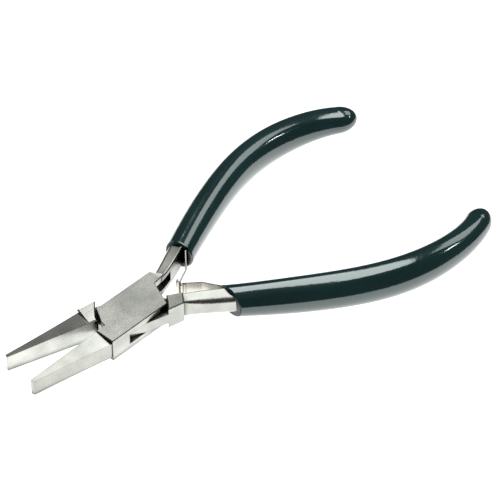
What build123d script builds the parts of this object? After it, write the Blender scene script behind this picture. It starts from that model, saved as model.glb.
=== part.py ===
"""Flat nose pliers with a box joint, sleeved handles and twin leaf springs.

Millimetres, +Z up.  The origin is on the pivot's axis, in the joint's lower face.  +X runs along the
centreline from the pivot to the handles, and the box arm's handle is on the +Y side.  The tool is open at
rest.  Each arm is drawn closed, with its handle on +Y and its jaw face on the XZ plane, in a frame turned
by half of the opening angle, and the inner arm is the mirror image.
"""

import os
from math import atan2, cos, degrees, radians, sin

from build123d import *

# --- driving dimensions -------------------------------------------------------------------------------

OPEN_ANGLE = 8.25  # how far each arm is turned from closed at rest, in degrees
JOINT_THICKNESS = 6.4  # across the two cheeks
JOINT_HALF_WIDTH = 5.65
SHOULDER_HEIGHT = 5.8  # the solid block fore of the cheeks
REAR_SHOULDER_HEIGHT = 6.3  # the one aft of them
SHOULDER_FLARE = 0.9  # how far the front block stands out beside the cheeks
WEB_HEIGHT = 2.8  # the inner arm's tongue, inside the box
WEB_CLEARANCE = 0.05  # above and below the tongue
FACE_GAP = 0.05  # each jaw's share of the gap between the closed jaws
EDGE_BREAK = 0.18
SHOULDER_EDGE_BREAK = 0.3

CHEEK_REACH = 8.28  # pivot to the slanted ends of the cheeks
CHEEK_FRONT = 9.38  # pivot to their inner front corners
CHEEK_KINK = (9.1, 1.3)  # where their front faces turn, from the pivot and from the centreline
FRONT_REACH = 8.7  # pivot to the slanted face of the inner arm's front block
BLOCK_KINK = (9.22, 1.3)  # where this face turns along the cheeks' one
REAR_REACH = 8.76  # pivot to the slanted face of its rear block
SHOULDER_SLANT = 66.5  # those faces from the centreline, in degrees
SHOULDER_FRONT = 11.9  # where the jaws begin
WEB_CORNER = 5.85
WEB_END = 9.2
SLOT_CORNER = 6.3
SLOT_END = 9.4
SLOT_FRONT = 9.6

JAW_TIP = 33.8  # pivot to the end of the jaws
JAW_MIDDLE = 23.5
JAW_ROOT_WIDTH = 5.4
JAW_MIDDLE_WIDTH = 3.0
JAW_TIP_WIDTH = 1.15
JAW_ROOT_HEIGHT = 5.7  # at the gripping face
JAW_TIP_HEIGHT = 4.45
JAW_BEVEL = 0.13  # fall of the top and bottom faces away from the gripping face

PIN_RADIUS = 2.1
PIN_HEAD_RADIUS = 2.6
PIN_HEAD_HEIGHT = 0.6
PIN_CLEARANCE = 0.05  # in the tongue's hole

SPRING_THICKNESS = 0.45
SPRING_WIDTH = 4.8
SPRING_ROOT = (24.0, 4.95)  # where the leaf leaves the sleeve and bends
SPRING_BEND = (19.45, 0.3)
SPRING_TIP = (15.3, -1.65)
SPRING_BEND_RADIUS = 1.6
SPRING_EYE_RADIUS = 0.42  # centreline of the rolled end
SPRING_EYE_TURN = 235  # degrees
SPRING_ROOT_GAP = 0.25  # each side of the bending line
SPRING_LEG_LENGTH = 9.0
SPRING_LEG_ANGLE = 25.0  # the fixed leg from the centreline, in degrees

RIVET_RADIUS = 0.7
RIVET_HEAD_RADIUS = 1.25
RIVET_HEAD_HEIGHT = 0.4
RIVET_INSET = 5.0  # from the spring's bending line
RIVET_DEPTH = 2.4

# The handle's steel core: points of its centreline, and its sections as (distance along the centreline,
# half width, half height at the inner side, radius of the outer corners).
TANG_LINE = (
    (12.2, 3.2),
    (17.3, 5.2),
    (23.5, 7.9),
    (34.7, 12.2),
    (46.2, 16.2),
    (57.7, 19.4),
    (68.2, 20.5),
    (85.2, 17.2),
)
TANG_SECTIONS = (
    (0.0, 1.25, 2.9, 0.5),
    (5.5, 1.7, 3.0, 1.3),
    (12.0, 1.85, 3.1, 1.45),
    (24.0, 1.95, 3.4, 1.6),
    (48.0, 2.1, 3.8, 1.8),
    (66.0, 2.0, 3.3, 1.7),
    (75.5, 1.5, 2.0, 1.2),
)
TANG_INNER_RADIUS = 0.3
TANG_CROWN = 0.2  # slope of its top and bottom faces towards the outer side

# The sleeve: points of its centreline, and the half axes of its elliptical sections as (distance along the
# centreline, half width, half height).  It ends in half an ellipsoid, and its mouth is cut by a plane.
GRIP_DROP = 0.5  # its centre below the steel's middle plane
GRIP_LINE = ((20.4, 5.7), (34.7, 11.9), (46.2, 16.2), (57.7, 19.45), (68.2, 20.55), (79.2, 19.5), (92.1, 14.3))
GRIP_SECTIONS = (
    (0.0, 3.85, 4.25),
    (3.5, 3.85, 4.25),
    (14.5, 4.0, 4.8),
    (25.5, 4.1, 5.2),
    (45.5, 3.95, 5.47),
    (55.5, 3.8, 5.25),
    (65.5, 3.65, 4.65),
    (75.3, 3.6, 3.75),
)
GRIP_CAP_LENGTH = 5.5
GRIP_LIP_RADIUS = 0.6
PASSAGE_WIDTH = 5.6  # the hollow around the spring in the sleeve's mouth
PASSAGE_INNER_GAP = 0.5
PASSAGE_OUTER_GAP = 2.2
PASSAGE_LEAF_GAP = 0.25
PASSAGE_DEPTH = 3.0

# --- derived dimensions -------------------------------------------------------------------------------

MID_HEIGHT = JOINT_THICKNESS / 2
SHOULDER_LOW = MID_HEIGHT - SHOULDER_HEIGHT / 2
SHOULDER_HIGH = MID_HEIGHT + SHOULDER_HEIGHT / 2
WEB_LOW = MID_HEIGHT - WEB_HEIGHT / 2
WEB_HIGH = MID_HEIGHT + WEB_HEIGHT / 2
SLANT = radians(SHOULDER_SLANT)
BOX_ARM = 1  # the side of each arm's handle
INNER_ARM = -1
# A point and the normal of the plane that cuts each sleeve's mouth.
GRIP_MOUTHS = {
    BOX_ARM: ((24.2, 7.2), (1, 0.3, 0.08)),
    INNER_ARM: ((23.1, 7.0), (1, -0.2, 0.06)),
}


def slant_x(reach, y):
    """X of the rear slanted line at this distance from the pivot."""
    return (reach + y * cos(SLANT)) / sin(SLANT)


# Plan outlines of an arm drawn closed, with its handle on +Y.
CHEEKS = (
    (-SHOULDER_FRONT - 0.2, -JOINT_HALF_WIDTH),
    (slant_x(CHEEK_REACH, -JOINT_HALF_WIDTH), -JOINT_HALF_WIDTH),
    (slant_x(CHEEK_REACH, 1.6), 1.6),
    (13.8, 2.35),
    (11.8, JOINT_HALF_WIDTH),
    (-slant_x(CHEEK_REACH, -JOINT_HALF_WIDTH), JOINT_HALF_WIDTH),
    (-CHEEK_KINK[0], CHEEK_KINK[1]),
    (-CHEEK_FRONT, -FACE_GAP),
    (-SHOULDER_FRONT - 0.2, -FACE_GAP),
)
SLOT = (
    (-SLOT_CORNER, -JOINT_HALF_WIDTH - 0.1),
    (-SLOT_FRONT, 0),
    (-SLOT_FRONT, JOINT_HALF_WIDTH + 1),
    (SLOT_CORNER, JOINT_HALF_WIDTH + 1),
    (SLOT_CORNER, JOINT_HALF_WIDTH + 0.1),
    (SLOT_END, 0),
    (SLOT_END, -JOINT_HALF_WIDTH - 1),
    (-SLOT_CORNER, -JOINT_HALF_WIDTH - 1),
)
SLOT_RUN_OUT = ((8.8, 0), (8.8, 3.4), (13.0, 3.9), (16.4, 4.6), (16.8, 4.3), (16.8, 0))
WEB = (
    (-WEB_END, -FACE_GAP),
    (-WEB_CORNER, JOINT_HALF_WIDTH),
    (8.0, JOINT_HALF_WIDTH),
    (12.6, 4.0),
    (13.0, 2.6),
    (WEB_END, FACE_GAP),
    (WEB_CORNER, -JOINT_HALF_WIDTH),
    (-8.0, -JOINT_HALF_WIDTH),
    (-10.5, -FACE_GAP),
)
FRONT_BLOCK = (
    (-SHOULDER_FRONT, -FACE_GAP),
    (-slant_x(FRONT_REACH, -FACE_GAP), -FACE_GAP),
    (-BLOCK_KINK[0], -BLOCK_KINK[1]),
    (-slant_x(FRONT_REACH, -JOINT_HALF_WIDTH - SHOULDER_FLARE), -JOINT_HALF_WIDTH - SHOULDER_FLARE),
    (-SHOULDER_FRONT, -JOINT_HALF_WIDTH - SHOULDER_FLARE / 3),
)
REAR_BLOCK = (
    (slant_x(REAR_REACH, -0.7), 0.7),
    (slant_x(REAR_REACH, -JOINT_HALF_WIDTH), JOINT_HALF_WIDTH),
    (11.6, 5.4),
    (13.3, 1.85),
)


def arm_frame(side):
    """The plane in which an arm is drawn closed, at the height of the joint's lower face."""
    turn = radians(side * OPEN_ANGLE)
    return Plane(origin=(0, 0, 0), x_dir=(cos(turn), sin(turn), 0), z_dir=(0, 0, 1))


def arm_plane(side, origin, normal):
    """A plane given by a point and its normal in an arm's frame, for a handle on +Y."""
    (x, y, z), (across, skew, lean) = origin, normal
    plane = Plane(origin=(x, side * y, z), z_dir=(across, side * skew, lean))
    return Plane(arm_frame(side).location * plane.location)


def on_side(side, points):
    """Points drawn for a handle on +Y, mirrored for the arm whose handle is on -Y."""
    return [(x, side * y) for x, y in points]


def prism(side, points, low, high, mode=Mode.ADD):
    """A plan outline of one arm, extruded between two heights."""
    with BuildSketch(arm_frame(side).offset(low)) as outline:
        Polygon(*on_side(side, points), align=None)
    return extrude(outline.sketch, amount=high - low, mode=mode)


def centreline(side, points, height=MID_HEIGHT):
    """A smooth level line."""
    with BuildLine(arm_frame(side).offset(height)) as line:
        Spline(*on_side(side, points))
    return line.edge()


def section_plane(line, distance):
    """The plane across a centreline, with its X level and its Y up."""
    along = line.tangent_at(distance, position_mode=PositionMode.LENGTH)
    point = line.position_at(distance, position_mode=PositionMode.LENGTH)
    return Plane(origin=point, x_dir=(-along.Y, along.X, 0), z_dir=along)


def tang(side, mode=Mode.ADD):
    """The steel core of a handle, flat on its inner side, from its shoulder to its end inside the sleeve."""
    line = centreline(side, TANG_LINE)
    sections = []
    for distance, half_width, half_height, radius in TANG_SECTIONS:
        inner, outer = -side * half_width, side * half_width
        outer_height = half_height - TANG_CROWN * 2 * half_width
        with BuildSketch(section_plane(line, distance)) as section:
            Polygon(
                (inner, -half_height),
                (inner, half_height),
                (outer, outer_height),
                (outer, -outer_height),
                align=None,
            )
            fillet(section.vertices().sort_by(Axis.X, reverse=side == INNER_ARM)[:2], TANG_INNER_RADIUS)
            fillet(section.vertices().sort_by(Axis.X, reverse=side == INNER_ARM)[-2:], radius)
        sections.append(section.sketch)
    return loft(sections, mode=mode)


def jaw(side):
    """A flat jaw, ground to a taper in plan and bevelled away from its gripping face."""
    root = (-SHOULDER_FRONT + 1, -JAW_ROOT_WIDTH)
    outer_root = (-SHOULDER_FRONT, -JAW_ROOT_WIDTH)
    outer_tip = (-JAW_TIP + 0.2, -JAW_TIP_WIDTH)
    with BuildPart() as blade:
        with BuildSketch(arm_frame(side)):
            with BuildLine():
                Spline(*on_side(side, (outer_root, (-JAW_MIDDLE, -JAW_MIDDLE_WIDTH), outer_tip)))
                Polyline(
                    *on_side(
                        side,
                        (
                            outer_tip,
                            (-JAW_TIP, -JAW_TIP_WIDTH + 0.2),
                            (-JAW_TIP, -FACE_GAP),
                            (-SHOULDER_FRONT + 1, -FACE_GAP),
                            root,
                            outer_root,
                        ),
                    )
                )
            make_face()
        extrude(amount=JOINT_THICKNESS)
        fall = (JAW_ROOT_HEIGHT - JAW_TIP_HEIGHT) / 2 / (JAW_TIP - SHOULDER_FRONT)
        for up in (1, -1):
            corner = (-SHOULDER_FRONT, 0, MID_HEIGHT + up * JAW_ROOT_HEIGHT / 2)
            split(bisect_by=arm_plane(side, corner, (-fall, -JAW_BEVEL, up)), keep=Keep.BOTTOM)
    return blade.part


def spring_leaf(side):
    """The free end of a leaf spring, from its bending line to its rolled eye."""
    root, bend, tip = (Vector(x, side * y) for x, y in (SPRING_ROOT, SPRING_BEND, SPRING_TIP))
    start = root + (bend - root).normalized() * SPRING_ROOT_GAP
    heading = (tip - bend).normalized()
    eye = tip + Vector(heading.Y, -heading.X) * side * SPRING_EYE_RADIUS
    eye_start = degrees(atan2(tip.Y - eye.Y, tip.X - eye.X))
    with BuildPart() as leaf:
        with BuildLine(arm_frame(side).offset(MID_HEIGHT)) as path:
            FilletPolyline((start.X, start.Y), (bend.X, bend.Y), (tip.X, tip.Y), radius=SPRING_BEND_RADIUS)
            CenterArc((eye.X, eye.Y), SPRING_EYE_RADIUS, eye_start, -side * SPRING_EYE_TURN)
        with BuildSketch(Plane(origin=path.line @ 0, x_dir=(0, 0, 1), z_dir=path.line % 0)):
            Rectangle(SPRING_WIDTH, SPRING_THICKNESS)
        sweep()
    return leaf.part


def leg_plane(side):
    """At the spring's bending line, with X along the fixed leg and Z into the handle's core."""
    turn = radians(side * (OPEN_ANGLE + SPRING_LEG_ANGLE))
    along = Vector(cos(turn), sin(turn), 0)
    inward = Vector(-sin(turn), cos(turn), 0) * side
    x, y = SPRING_ROOT
    root = arm_frame(side).from_local_coords(Vector(x, side * y, MID_HEIGHT))
    return Plane(origin=root, x_dir=along, z_dir=inward)


def spring_leg(side):
    """The fixed end of a leaf spring, riveted to the core under the sleeve."""
    centre = SPRING_ROOT_GAP + SPRING_LEG_LENGTH / 2
    with BuildPart() as leg:
        with BuildSketch(leg_plane(side).offset(-SPRING_THICKNESS / 2)):
            with Locations((centre, 0)):
                Rectangle(SPRING_LEG_LENGTH, SPRING_WIDTH)
            with Locations((RIVET_INSET, 0)):
                Circle(RIVET_RADIUS, mode=Mode.SUBTRACT)
        extrude(amount=SPRING_THICKNESS)
    return leg.part


def spring_rivet(side):
    """The rivet through the spring's leg, with its head under the sleeve."""
    with BuildPart() as rivet:
        with BuildSketch(leg_plane(side).offset(-SPRING_THICKNESS / 2)):
            with Locations((RIVET_INSET, 0)):
                Circle(RIVET_RADIUS)
        extrude(amount=SPRING_THICKNESS + RIVET_DEPTH)
        with BuildSketch(leg_plane(side).offset(-SPRING_THICKNESS / 2)):
            with Locations((RIVET_INSET, 0)):
                Circle(RIVET_HEAD_RADIUS)
        extrude(amount=-RIVET_HEAD_HEIGHT)
    return rivet.part


def spring_passage(side):
    """The hollow in the sleeve's mouth, from the core to beyond the spring's leg, and along its leaf."""
    root, bend = Vector(*SPRING_ROOT), Vector(*SPRING_BEND)
    along = (bend - root).normalized()
    aside = Vector(-along.Y, along.X) * (SPRING_THICKNESS / 2 + PASSAGE_LEAF_GAP)
    corners = [(p.X, p.Y) for p in (root - aside, root + aside, bend + aside, bend - aside)]
    with BuildPart() as passage:
        with BuildSketch(leg_plane(side).offset(-PASSAGE_INNER_GAP)):
            RectangleRounded(2 * PASSAGE_DEPTH, PASSAGE_WIDTH, PASSAGE_INNER_GAP)
        extrude(amount=PASSAGE_INNER_GAP + PASSAGE_OUTER_GAP)
        prism(side, corners, MID_HEIGHT - PASSAGE_WIDTH / 2, MID_HEIGHT + PASSAGE_WIDTH / 2)
    return passage.part


def sleeve(side, core, leg, rivet):
    """A handle's plastic sleeve, dipped over the core and the spring's leg."""
    line = centreline(side, GRIP_LINE, MID_HEIGHT - GRIP_DROP)
    end = section_plane(line, line.length)
    last_half_width, last_half_height = GRIP_SECTIONS[-1][1:]
    cap = end.location * scale(Sphere(1), by=(last_half_width, last_half_height, GRIP_CAP_LENGTH))
    (x, y), normal = GRIP_MOUTHS[side]
    mouth_plane = arm_plane(side, (x, y, MID_HEIGHT - GRIP_DROP), normal)
    with BuildPart() as grip:
        for distance, half_width, half_height in GRIP_SECTIONS:
            with BuildSketch(section_plane(line, min(distance, line.length))):
                Ellipse(half_width, half_height)
        loft()
        add(cap)
        split(bisect_by=mouth_plane, keep=Keep.TOP)
        mouth = grip.faces().sort_by_distance(mouth_plane.origin)[0]
        fillet(mouth.edges(), GRIP_LIP_RADIUS)
        for inside in (core, spring_passage(side), leg, rivet):
            add(inside, mode=Mode.SUBTRACT)
    return grip.part


# --- springs and their rivets -------------------------------------------------------------------------

leaves = {side: spring_leaf(side) for side in (BOX_ARM, INNER_ARM)}
legs = {side: spring_leg(side) for side in (BOX_ARM, INNER_ARM)}
rivets = {side: spring_rivet(side) for side in (BOX_ARM, INNER_ARM)}
jaws = {side: jaw(side) for side in (BOX_ARM, INNER_ARM)}

# --- pivot pin: riveted into countersinks and ground flush --------------------------------------------

with BuildPart() as pivot_pin:
    with BuildSketch(Plane.XZ):
        Polygon(
            (0, 0),
            (PIN_HEAD_RADIUS, 0),
            (PIN_RADIUS, PIN_HEAD_HEIGHT),
            (PIN_RADIUS, JOINT_THICKNESS - PIN_HEAD_HEIGHT),
            (PIN_HEAD_RADIUS, JOINT_THICKNESS),
            (0, JOINT_THICKNESS),
            align=None,
        )
    revolve(axis=Axis.Z)

# --- box arm: two cheeks joined fore and aft, the -Y jaw and the +Y handle ----------------------------

with BuildPart() as box_arm:
    prism(BOX_ARM, CHEEKS, 0, JOINT_THICKNESS)
    rims = box_arm.edges().group_by(Axis.Z)[0] + box_arm.edges().group_by(Axis.Z)[-1]
    chamfer(rims, EDGE_BREAK)
    add(jaws[BOX_ARM])
    tang(BOX_ARM)
    prism(BOX_ARM, SLOT, WEB_LOW - WEB_CLEARANCE, WEB_HIGH + WEB_CLEARANCE, Mode.SUBTRACT)
    prism(BOX_ARM, SLOT_RUN_OUT, WEB_LOW - WEB_CLEARANCE, WEB_HIGH + WEB_CLEARANCE, Mode.SUBTRACT)
    for inside in (pivot_pin.part, legs[BOX_ARM], rivets[BOX_ARM]):
        add(inside, mode=Mode.SUBTRACT)

# --- inner arm: the tongue in the box, the +Y jaw and the -Y handle -----------------------------------

with BuildPart() as inner_arm:
    prism(INNER_ARM, FRONT_BLOCK, SHOULDER_LOW, SHOULDER_HIGH)
    prism(INNER_ARM, REAR_BLOCK, MID_HEIGHT - REAR_SHOULDER_HEIGHT / 2, MID_HEIGHT + REAR_SHOULDER_HEIGHT / 2)
    rims = inner_arm.edges().filter_by(Plane.XY)
    chamfer(rims, SHOULDER_EDGE_BREAK)
    prism(INNER_ARM, WEB, WEB_LOW, WEB_HIGH)
    add(jaws[INNER_ARM])
    tang(INNER_ARM)
    with Locations((0, 0, MID_HEIGHT)):
        Cylinder(PIN_RADIUS + PIN_CLEARANCE, JOINT_THICKNESS, mode=Mode.SUBTRACT)
    for inside in (legs[INNER_ARM], rivets[INNER_ARM]):
        add(inside, mode=Mode.SUBTRACT)

# --- sleeves ------------------------------------------------------------------------------------------

box_arm_grip = sleeve(BOX_ARM, box_arm.part, legs[BOX_ARM], rivets[BOX_ARM])
inner_arm_grip = sleeve(INNER_ARM, inner_arm.part, legs[INNER_ARM], rivets[INNER_ARM])

# --- files --------------------------------------------------------------------------------------------

nodes = {
    "box_arm": box_arm.part,
    "inner_arm": inner_arm.part,
    "pivot_pin": pivot_pin.part,
    "box_arm_grip": box_arm_grip,
    "inner_arm_grip": inner_arm_grip,
    "box_arm_spring_leaf": leaves[BOX_ARM],
    "box_arm_spring_leg": legs[BOX_ARM],
    "box_arm_spring_rivet": rivets[BOX_ARM],
    "inner_arm_spring_leaf": leaves[INNER_ARM],
    "inner_arm_spring_leg": legs[INNER_ARM],
    "inner_arm_spring_rivet": rivets[INNER_ARM],
}
os.makedirs("parts", exist_ok=True)
for name, part in nodes.items():
    part.label = name
    export_step(part, f"parts/{name}.step")
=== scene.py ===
"""The look of the flat nose pliers: finishes on the CAD nodes, bent leaf springs, studio and camera."""

import math

import bpy
from mathutils import Matrix, Vector


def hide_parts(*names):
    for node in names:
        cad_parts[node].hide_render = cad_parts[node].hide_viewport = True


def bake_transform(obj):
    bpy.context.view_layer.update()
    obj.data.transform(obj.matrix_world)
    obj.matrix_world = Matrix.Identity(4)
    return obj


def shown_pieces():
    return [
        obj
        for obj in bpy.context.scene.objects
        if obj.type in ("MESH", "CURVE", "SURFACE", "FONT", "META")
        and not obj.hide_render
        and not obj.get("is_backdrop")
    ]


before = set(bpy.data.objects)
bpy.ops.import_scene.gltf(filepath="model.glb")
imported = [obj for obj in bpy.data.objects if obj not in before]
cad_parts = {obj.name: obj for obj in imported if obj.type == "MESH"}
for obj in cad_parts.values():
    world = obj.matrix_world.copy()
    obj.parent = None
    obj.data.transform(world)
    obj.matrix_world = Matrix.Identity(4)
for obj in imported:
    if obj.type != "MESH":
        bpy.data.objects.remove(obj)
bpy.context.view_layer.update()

MM = 0.001
OPEN_ANGLE = math.radians(8.25)
BOX_ARM = 1
INNER_ARM = -1


# --- node helpers ---------------------------------------------------------------------------------------


def new_material(name):
    """A node material and its principled shader."""
    material = bpy.data.materials.new(name)
    material.use_nodes = True
    nodes = material.node_tree.nodes
    return material, nodes, material.node_tree.links, nodes["Principled BSDF"]


def object_coords(nodes, links, turn=0.0):
    """Coordinates in the tool's own frame, turned about Z."""
    coords = nodes.new("ShaderNodeTexCoord")
    mapping = nodes.new("ShaderNodeMapping")
    mapping.inputs["Rotation"].default_value = (0, 0, turn)
    links.new(coords.outputs["Object"], mapping.inputs["Vector"])
    return mapping.outputs["Vector"]


def scaled(nodes, links, vector, scale):
    """Coordinates stretched for a texture that isn't the same in all directions."""
    mapping = nodes.new("ShaderNodeMapping")
    mapping.inputs["Scale"].default_value = scale
    links.new(vector, mapping.inputs["Vector"])
    return mapping.outputs["Vector"]


def noise(nodes, links, vector, scale=1.0, detail=3.0, roughness=0.5):
    texture = nodes.new("ShaderNodeTexNoise")
    texture.inputs["Scale"].default_value = scale
    texture.inputs["Detail"].default_value = detail
    texture.inputs["Roughness"].default_value = roughness
    links.new(vector, texture.inputs["Vector"])
    return texture.outputs["Fac"]


def spread(nodes, links, value, low, high, new_low, new_high):
    """Maps a range of values to another, clamped."""
    node = nodes.new("ShaderNodeMapRange")
    node.inputs["From Min"].default_value = low
    node.inputs["From Max"].default_value = high
    node.inputs["To Min"].default_value = new_low
    node.inputs["To Max"].default_value = new_high
    links.new(value, node.inputs["Value"])
    return node.outputs["Result"]


def color_sockets(sockets):
    """A mix node's sockets for colours, which share their names with those for numbers and vectors."""
    return [socket for socket in sockets if socket.type == "RGBA"]


def mixed_color(nodes, links, factor, first, second):
    """The first colour where the factor is 0, the second where it is 1."""
    node = nodes.new("ShaderNodeMix")
    node.data_type = "RGBA"
    for socket, value in zip(color_sockets(node.inputs), (first, second)):
        if isinstance(value, tuple):
            socket.default_value = (*value, 1)
        else:
            links.new(value, socket)
    links.new(factor, node.inputs["Factor"])
    return color_sockets(node.outputs)[0]


def multiplied(nodes, links, color, factor):
    node = nodes.new("ShaderNodeMix")
    node.data_type = "RGBA"
    node.blend_type = "MULTIPLY"
    node.inputs["Factor"].default_value = 1
    for socket, value in zip(color_sockets(node.inputs), (color, factor)):
        links.new(value, socket)
    return color_sockets(node.outputs)[0]


def bump(nodes, links, height, strength, distance, normal=None):
    """A bumped normal, on top of another one where that is given."""
    node = nodes.new("ShaderNodeBump")
    node.inputs["Strength"].default_value = strength
    node.inputs["Distance"].default_value = distance
    links.new(height, node.inputs["Height"])
    if normal is not None:
        links.new(normal, node.inputs["Normal"])
    return node.outputs["Normal"]


def axis_value(nodes, links, vector, axis):
    node = nodes.new("ShaderNodeSeparateXYZ")
    links.new(vector, node.inputs["Vector"])
    return node.outputs[axis]


def absolute(nodes, links, value):
    node = nodes.new("ShaderNodeMath")
    node.operation = "ABSOLUTE"
    links.new(value, node.inputs[0])
    return node.outputs[0]


# --- materials ------------------------------------------------------------------------------------------

# The steel's colours: its colour in light and dark clouds, and painted light and shade along an arm as
# (millimetres from the pivot, brightness level), for upright faces and for level ones.
SATIN = ((0.388, 0.394, 0.36), (0.283, 0.293, 0.272))
PIN_SATIN = ((0.3, 0.306, 0.283), (0.222, 0.232, 0.217))
SPRING_SATIN = ((0.57, 0.555, 0.5), (0.48, 0.465, 0.42))
# Painted shade laid into corners and slots.
PAINTED_SHADE = (0.012, 0.011, 0.01)
EVEN = ((-40, 1), (100, 1))
# Painted light and shade on the box arm's upright faces.
BOX_ARM_SIDE_PAINTED_LIGHT = (
    (-40, 0.8),
    (-32, 0.82),
    (-20, 0.92),
    (-11, 0.98),
    (11.3, 0.98),
    (12.5, 0.62),
    (19, 0.55),
    (24, 0.45),
    (60, 0.45),
)
# Painted light and shade on the box arm's level faces.
BOX_ARM_TOP_PAINTED_LIGHT = (
    (-40, 0.77),
    (-32, 0.78),
    (-20, 0.84),
    (-15, 1.02),
    (-11, 1.08),
    (-10, 0.98),
    (-5, 0.92),
    (0, 0.77),
    (5, 0.8),
    (11.5, 0.88),
    (12.5, 1.5),
    (17, 1.9),
    (24, 0.9),
    (60, 0.9),
)
# Painted light and shade on the inner arm's upright faces.
INNER_ARM_SIDE_PAINTED_LIGHT = ((-40, 1.18), (-12.5, 1.18), (-8, 1.05), (60, 1.05))
# Painted light and shade on the inner arm's level faces.
INNER_ARM_TOP_PAINTED_LIGHT = (
    (-40, 0.74),
    (-12.1, 0.74),
    (-11.8, 1.5),
    (-7, 1.5),
    (8, 0.62),
    (12.3, 0.62),
    (13.5, 0.96),
    (60, 0.96),
)
ARM_SHADE_REACH = 2.4 * MM  # how far the painted shade of a corner spreads
SPRING_SHADE_REACH = 1.2 * MM
SLEEVE_SHADE_REACH = 3 * MM
# Width of the painted shade along outer edges.
PAINTED_EDGE_SHADE_WIDTH = 0.3 * MM
BUMP_HEIGHT = 0.04 * MM
WAVE_HEIGHT = 0.6 * MM
# Texture scales, in features per metre along each axis.
GRINDING = (240, 5600, 5600)
SCRATCHES = (2600, 900, 900)
CLOUDS = (150, 190, 150)
WAVES = (90, 90, 90)
PORES = (1800, 1800, 1800)
GREEN = ((0.0035, 0.02, 0.021), (0.0025, 0.015, 0.016))
# Painted shade colour for the sleeve's corners and creases.
GREEN_PAINTED_SHADE = (0.0008, 0.002, 0.002)
PAPER = ((0.8, 0.8, 0.8), (0.76, 0.76, 0.76))


def painted_crevice_shade(nodes, links, reach):
    """Painted shade as a mask: 0 in deep corners and slots, 1 on open faces."""
    node = nodes.new("ShaderNodeAmbientOcclusion")
    node.samples = 8
    node.inputs["Distance"].default_value = reach
    return spread(nodes, links, node.outputs["AO"], 0.42, 0.86, 0, 1)


def painted_edge_shade(nodes, links):
    """Painted shade along outer edges: 0.72 there, 1 on faces."""
    node = nodes.new("ShaderNodeAmbientOcclusion")
    node.samples = 8
    node.inside = True
    node.inputs["Distance"].default_value = PAINTED_EDGE_SHADE_WIDTH
    return spread(nodes, links, node.outputs["AO"], 0.6, 0.95, 0.72, 1)


def ramp(nodes, links, value, stops):
    """Grey levels along a value, given as (place in millimetres, level)."""
    low, high = stops[0][0], stops[-1][0]
    node = nodes.new("ShaderNodeValToRGB")
    elements = node.color_ramp.elements
    while len(elements) < len(stops):
        elements.new(0.5)
    for element, (place, level) in zip(elements, stops):
        element.position = (place - low) / (high - low)
        element.color = (level, level, level, 1)
    links.new(spread(nodes, links, value, low * MM, high * MM, 0, 1), node.inputs["Fac"])
    return node.outputs["Color"]


def steel(name, turn, light, dark, side_painted_light=EVEN, top_painted_light=EVEN, reach=ARM_SHADE_REACH, edge_shaded=False):
    """Satin steel ground lengthwise, with painted shade in its corners.

    turn brings the arm's length onto X.  sides and tops give painted light and shade, as brightness levels,
    on its upright and level faces at distances in millimetres along it, and reach how far in metres the
    painted shade of a corner spreads.  edged gives the outer edges a thin line of painted shade.
    """
    material, nodes, links, shader = new_material(name)
    own = object_coords(nodes, links, turn)
    lines = noise(nodes, links, scaled(nodes, links, own, GRINDING), detail=4, roughness=0.65)
    scratches = noise(nodes, links, scaled(nodes, links, own, SCRATCHES), detail=2)
    clouds = noise(nodes, links, scaled(nodes, links, own, CLOUDS), detail=3)
    shade = spread(nodes, links, clouds, 0.35, 0.65, 0, 1)
    color = mixed_color(nodes, links, shade, light, dark)
    along = axis_value(nodes, links, own, "X")
    facing = axis_value(nodes, links, nodes.new("ShaderNodeTexCoord").outputs["Normal"], "Z")
    # Painted light and shade: upright and level faces made lighter or darker along the arm.
    level = spread(nodes, links, absolute(nodes, links, facing), 0.85, 0.97, 0, 1)
    side_painted_level, top_painted_level = ramp(nodes, links, along, side_painted_light), ramp(nodes, links, along, top_painted_light)
    painted_level = mixed_color(nodes, links, level, side_painted_level, top_painted_level)
    color = multiplied(nodes, links, color, painted_level)
    # Painted shade: a thin darker line along the outer edges.
    if edge_shaded:
        color = multiplied(nodes, links, color, painted_edge_shade(nodes, links))
    # Painted shade darkens corners and slots, to the given reach.
    color = mixed_color(nodes, links, painted_crevice_shade(nodes, links, reach), PAINTED_SHADE, color)
    links.new(color, shader.inputs["Base Color"])
    links.new(spread(nodes, links, lines, 0.3, 0.7, 0.2, 0.3), shader.inputs["Roughness"])
    normal = bump(nodes, links, lines, 0.2, BUMP_HEIGHT)
    links.new(bump(nodes, links, scratches, 0.05, BUMP_HEIGHT, normal), shader.inputs["Normal"])
    shader.inputs["Metallic"].default_value = 1
    return material


def sleeve_plastic():
    """Glossy dipped PVC, dark green, with a faint waviness and a duller cut end at the mouth."""
    material, nodes, links, shader = new_material("grip_pvc")
    coords = object_coords(nodes, links)
    waves = noise(nodes, links, scaled(nodes, links, coords, WAVES), detail=2)
    pores = noise(nodes, links, scaled(nodes, links, coords, PORES), detail=2)
    tint = spread(nodes, links, waves, 0.35, 0.65, 0, 1)
    color = mixed_color(nodes, links, tint, *GREEN)
    # Painted shade darkens the sleeve's corners and creases.
    color = mixed_color(nodes, links, painted_crevice_shade(nodes, links, SLEEVE_SHADE_REACH), GREEN_PAINTED_SHADE, color)
    links.new(color, shader.inputs["Base Color"])
    links.new(spread(nodes, links, pores, 0.3, 0.7, 0.08, 0.14), shader.inputs["Roughness"])
    links.new(bump(nodes, links, waves, 0.12, WAVE_HEIGHT), shader.inputs["Normal"])
    facing = nodes.new("ShaderNodeTexCoord").outputs["Normal"]
    cut_end = spread(nodes, links, axis_value(nodes, links, facing, "X"), -0.82, -0.7, 1, 0)
    links.new(spread(nodes, links, cut_end, 0, 1, 0.5, 0.12), shader.inputs["Specular IOR Level"])
    shader.inputs["Specular Tint"].default_value = (0.88, 1, 0.97, 1)
    shader.inputs["IOR"].default_value = 1.75
    return material


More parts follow.
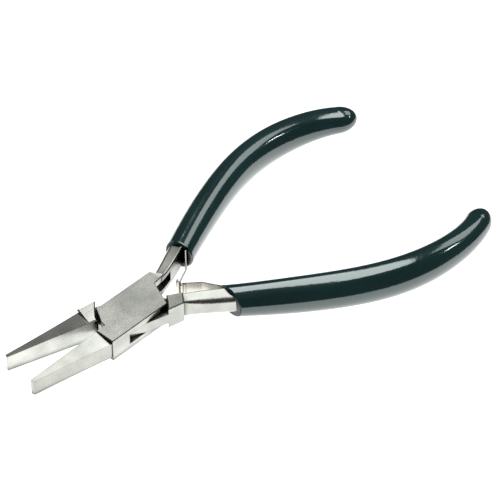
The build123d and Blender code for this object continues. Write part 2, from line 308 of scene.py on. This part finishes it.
def floor_paper(name, glow):
    """Glowing white paper."""
    material, nodes, links, shader = new_material(name)
    grain = noise(nodes, links, object_coords(nodes, links), 300, detail=2)
    links.new(mixed_color(nodes, links, grain, *PAPER), shader.inputs["Base Color"])
    shader.inputs["Roughness"].default_value = 0.9
    shader.inputs["Specular IOR Level"].default_value = 0.1
    shader.inputs["Emission Color"].default_value = (1, 1, 1, 1)
    shader.inputs["Emission Strength"].default_value = glow
    return material


def dress(node, material):
    """Gives a CAD node its finish."""
    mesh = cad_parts[node].data
    mesh.materials.clear()
    mesh.materials.append(material)


steel_box = steel("box_arm_steel", -OPEN_ANGLE, *SATIN, BOX_ARM_SIDE_PAINTED_LIGHT, BOX_ARM_TOP_PAINTED_LIGHT, edge_shaded=True)
steel_inner = steel("inner_arm_steel", OPEN_ANGLE, *SATIN, INNER_ARM_SIDE_PAINTED_LIGHT, INNER_ARM_TOP_PAINTED_LIGHT, edge_shaded=True)
spring_steel = steel("spring_strip_steel", 0.0, *SPRING_SATIN, reach=SPRING_SHADE_REACH)
pin_steel = steel("pivot_pin_steel", -OPEN_ANGLE, *PIN_SATIN)
pvc = sleeve_plastic()
dress("box_arm", steel_box)
dress("inner_arm", steel_inner)
dress("pivot_pin", pin_steel)
for arm in ("box_arm", "inner_arm"):
    dress(arm + "_grip", pvc)
    dress(arm + "_spring_leaf", spring_steel)
    dress(arm + "_spring_leg", spring_steel)
    dress(arm + "_spring_rivet", pin_steel)


# --- leaf springs ---------------------------------------------------------------------------------------

# Lengths in millimetres, for an arm drawn closed with its handle on +Y.
SPRING_ROOT = Vector((24.0, 4.95))
SPRING_BEND = Vector((19.45, 0.3))
SPRING_TIP = Vector((15.3, -1.65))
SPRING_THICKNESS = 0.45
SPRING_WIDTH = 4.8
SPRING_EDGE = 0.12
SPRING_LEG_ANGLE = math.radians(25)
SPRING_LEG_LENGTH = 9.2
ROOT_BEND_RADIUS = 1.2
LEAF_BEND_RADIUS = 1.6
EYE_RADIUS = 0.42
EYE_TURN = math.radians(235)
EYE_STEPS = 24
MID_HEIGHT = 3.2


def turned(vector, angle):
    """A plan vector turned anticlockwise."""
    c, s = math.cos(angle), math.sin(angle)
    return Vector((vector.x * c - vector.y * s, vector.x * s + vector.y * c))


def rounded_corner(before, corner, after, radius, steps=8):
    """Points of the arc that rounds a corner of a polyline."""
    back, ahead = (before - corner).normalized(), (after - corner).normalized()
    half = back.angle(ahead) / 2
    start, end = corner + back * radius / math.tan(half), corner + ahead * radius / math.tan(half)
    centre = corner + (back + ahead).normalized() * radius / math.sin(half)
    spoke = start - centre
    turn = -spoke.angle_signed(end - centre)
    return [centre + turned(spoke, turn * step / steps) for step in range(steps + 1)]


def spring_line():
    """The strip's centreline for a handle on +Y, from the end of its leg to the inside of its eye."""
    leg = turned(Vector((1, 0)), SPRING_LEG_ANGLE)
    line = [SPRING_ROOT + leg * length for length in (SPRING_LEG_LENGTH, 6, 3, 0.8)]
    line += rounded_corner(line[0], SPRING_ROOT, SPRING_BEND, ROOT_BEND_RADIUS)
    line += [SPRING_ROOT.lerp(SPRING_BEND, share) for share in (0.12, 0.5)]
    line += rounded_corner(SPRING_ROOT, SPRING_BEND, SPRING_TIP, LEAF_BEND_RADIUS, 12)
    heading = (SPRING_TIP - SPRING_BEND).normalized()
    spoke = Vector((-heading.y, heading.x)) * EYE_RADIUS
    eye = SPRING_TIP - spoke
    line += [eye + turned(spoke, -EYE_TURN * step / EYE_STEPS) for step in range(EYE_STEPS + 1)]
    return line


def strip_profile():
    """The strip's section with softened edges, as (out from the centreline, up)."""
    half, width, edge = SPRING_THICKNESS / 2, SPRING_WIDTH / 2, SPRING_EDGE
    return (
        (half, width - edge),
        (half - edge, width),
        (edge - half, width),
        (-half, width - edge),
        (-half, edge - width),
        (edge - half, -width),
        (half - edge, -width),
        (half, edge - width),
    )


def in_arm(side, spot, height):
    """A point of the tool at rest, from a plan point drawn for a handle on +Y and a height."""
    return Vector((*turned(Vector((spot.x, side * spot.y)), side * OPEN_ANGLE), height)) * MM


def spring_strip(name, side, material):
    """One bent strip of spring steel: fixed leg, free leaf and rolled eye."""
    line = spring_line()
    profile = strip_profile()
    verts = []
    for index, point in enumerate(line):
        ahead = line[min(index + 1, len(line) - 1)] - line[max(index - 1, 0)]
        across = Vector((-ahead.y, ahead.x)).normalized()
        verts += [in_arm(side, point + across * out, MID_HEIGHT + up) for out, up in profile]
    count = len(profile)
    faces = []
    for ring in range(len(line) - 1):
        for k in range(count):
            a, b = ring * count + k, ring * count + (k + 1) % count
            faces.append((a, b, b + count, a + count))
    faces.append(tuple(range(count)))
    faces.append(tuple(reversed(range(len(verts) - count, len(verts)))))
    if side == INNER_ARM:
        faces = [tuple(reversed(face)) for face in faces]
    mesh = bpy.data.meshes.new(name)
    mesh.from_pydata(verts, [], faces)
    mesh.materials.append(material)
    mesh.shade_smooth()
    mesh.set_sharp_from_angle(angle=math.radians(30))
    strip = bpy.data.objects.new(name, mesh)
    bpy.context.scene.collection.objects.link(strip)
    return strip


def add_spring(arm, side):
    """An arm's spring as one bent strip, made in place of the CAD leaf and leg, which are hidden."""
    strip = spring_strip(arm + "_leaf_spring", side, spring_steel)
    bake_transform(strip)
    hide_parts(arm + "_spring_leaf", arm + "_spring_leg")


add_spring("box_arm", BOX_ARM)
add_spring("inner_arm", INNER_ARM)


# --- floor, light, camera -------------------------------------------------------------------------------

# Lengths in metres.
FLOOR_HALF_SIZE = 3.0
FLOOR_GLOW = 1.3
UNDERSIDE_DEPTH = 0.0002  # how high a point of the joint may lie to count as its underside
LIGHT_TABLE_CORNERS = ((-1.5, -0.6), (1.2, -0.6), (1.2, 1.5), (-1.5, 1.5))
LIGHT_TABLE_DEPTH = 0.3
LIGHT_TABLE_GLOW = 1.15
LIGHT_TARGET = Vector((0.035, 0, 0))
LIGHT_DISTANCE = 0.9
# Name, elevation and heading in degrees, size, radiance.
STEEL_LIGHTS = (
    ("overhead_softbox_on_steel", 74.5, -2.5, (1.43, 0.6), 2.75),
    ("rear_card_on_steel", 30, 66, (0.8, 0.5), 0.45),
)
SLEEVE_LIGHTS = (
    ("overhead_softbox_on_sleeves", 76.5, -2.5, (1.3, 0.46), 6.5),
    ("side_softbox", 39.7, -11.1, (0.53, 0.36), 3.2),
    ("rear_card", 8, 118, (1.0, 0.5), 1.0),
    ("bare_tube", 25.5, -42, (0.12, 0.03), 40),
)
HORIZON_GREY = (0.09, 0.085, 0.08, 1)
ZENITH_GREY = (0.16, 0.16, 0.16, 1)
CAMERA_AZIMUTH, CAMERA_ELEVATION, CAMERA_ROLL = (math.radians(angle) for angle in (-39.2, 41.43, 0.36))
CAMERA_TARGET = Vector((0.0381, 0.0013, 0.0027))
CAMERA_DISTANCE = 0.628
CAMERA_LENS = 179.7


def resting_plane():
    """The table under the open tool, touching the front of its joint and the fullest part of both sleeves."""
    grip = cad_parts["box_arm_grip"].data
    lowest = min((v.co for v in grip.vertices), key=lambda co: co.z)
    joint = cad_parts["box_arm"].data
    joint_x = min(v.co.x for v in joint.vertices if v.co.z < UNDERSIDE_DEPTH)
    slope = math.atan2(-lowest.z, lowest.x - joint_x)
    return Matrix.Translation((joint_x, 0, 0)) @ Matrix.Rotation(slope, 4, "Y")


def sheet(name, corners, glow):
    """A flat glowing sheet at height 0."""
    mesh = bpy.data.meshes.new(name)
    mesh.from_pydata([(x, y, 0) for x, y in corners], [], [(0, 1, 2, 3)])
    mesh.materials.append(floor_paper(name, glow))
    made = bpy.data.objects.new(name, mesh)
    bpy.context.scene.collection.objects.link(made)
    return made


def add_floor():
    size = FLOOR_HALF_SIZE
    floor = sheet("floor", ((-size, -size), (size, -size), (size, size), (-size, size)), FLOOR_GLOW)
    floor.matrix_world = resting_plane()
    floor.visible_glossy = False
    floor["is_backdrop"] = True


def add_softbox(name, elevation, heading, size, radiance, lit):
    """A rectangular light that faces the tool and falls on the given objects alone."""
    light = bpy.data.lights.new(name, "AREA")
    light.shape = "RECTANGLE"
    light.size, light.size_y = size
    light.energy = radiance * math.pi * size[0] * size[1]
    lamp = bpy.data.objects.new(name, light)
    bpy.context.scene.collection.objects.link(lamp)
    up, around = math.radians(elevation), math.radians(heading)
    direction = Vector((math.cos(up) * math.cos(around), math.cos(up) * math.sin(around), math.sin(up)))
    lamp.location = LIGHT_TARGET + direction * LIGHT_DISTANCE
    lamp.rotation_euler = direction.to_track_quat("Z", "Y").to_euler()
    receivers = bpy.data.collections.new("lit_by_" + lamp.name)
    for obj in lit:
        receivers.objects.link(obj)
    lamp.light_linking.receiver_collection = receivers


def add_light_table():
    """A glowing sheet some way below the floor, seen in reflections only."""
    table = sheet("light_table", LIGHT_TABLE_CORNERS, LIGHT_TABLE_GLOW)
    table.location.z = -LIGHT_TABLE_DEPTH
    table.visible_camera = False
    table.visible_diffuse = False
    table.visible_shadow = False
    table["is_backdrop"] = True


def add_world():
    """A dim studio, darker towards the horizon."""
    world = bpy.data.worlds.new("studio")
    bpy.context.scene.world = world
    world.use_nodes = True
    nodes, links = world.node_tree.nodes, world.node_tree.links
    coords = nodes.new("ShaderNodeTexCoord")
    sky = nodes.new("ShaderNodeValToRGB")
    links.new(axis_value(nodes, links, coords.outputs["Generated"], "Z"), sky.inputs["Fac"])
    links.new(sky.outputs["Color"], nodes["Background"].inputs["Color"])
    horizon, zenith = sky.color_ramp.elements
    horizon.position, horizon.color = 0.5, HORIZON_GREY
    zenith.position, zenith.color = 0.95, ZENITH_GREY


def add_camera():
    level = math.cos(CAMERA_ELEVATION)
    back = Vector(
        (math.sin(CAMERA_AZIMUTH) * level, -math.cos(CAMERA_AZIMUTH) * level, math.sin(CAMERA_ELEVATION))
    )
    data = bpy.data.cameras.new("camera")
    data.lens = CAMERA_LENS
    data.sensor_width = 36
    data.clip_end = 20
    camera = bpy.data.objects.new("camera", data)
    bpy.context.scene.collection.objects.link(camera)
    place = Matrix.Translation(CAMERA_TARGET + back * CAMERA_DISTANCE)
    turn = back.to_track_quat("Z", "Y").to_matrix().to_4x4()
    camera.matrix_world = place @ turn @ Matrix.Rotation(CAMERA_ROLL, 4, "Z")
    bpy.context.scene.camera = camera


add_floor()
add_light_table()
sleeves = [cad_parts[arm + "_grip"] for arm in ("box_arm", "inner_arm")]
steelwork = [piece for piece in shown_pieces() if piece not in sleeves]
for light in STEEL_LIGHTS:
    add_softbox(*light, steelwork)
for light in SLEEVE_LIGHTS:
    add_softbox(*light, sleeves)
add_world()
add_camera()
bpy.context.scene.view_settings.view_transform = "Standard"
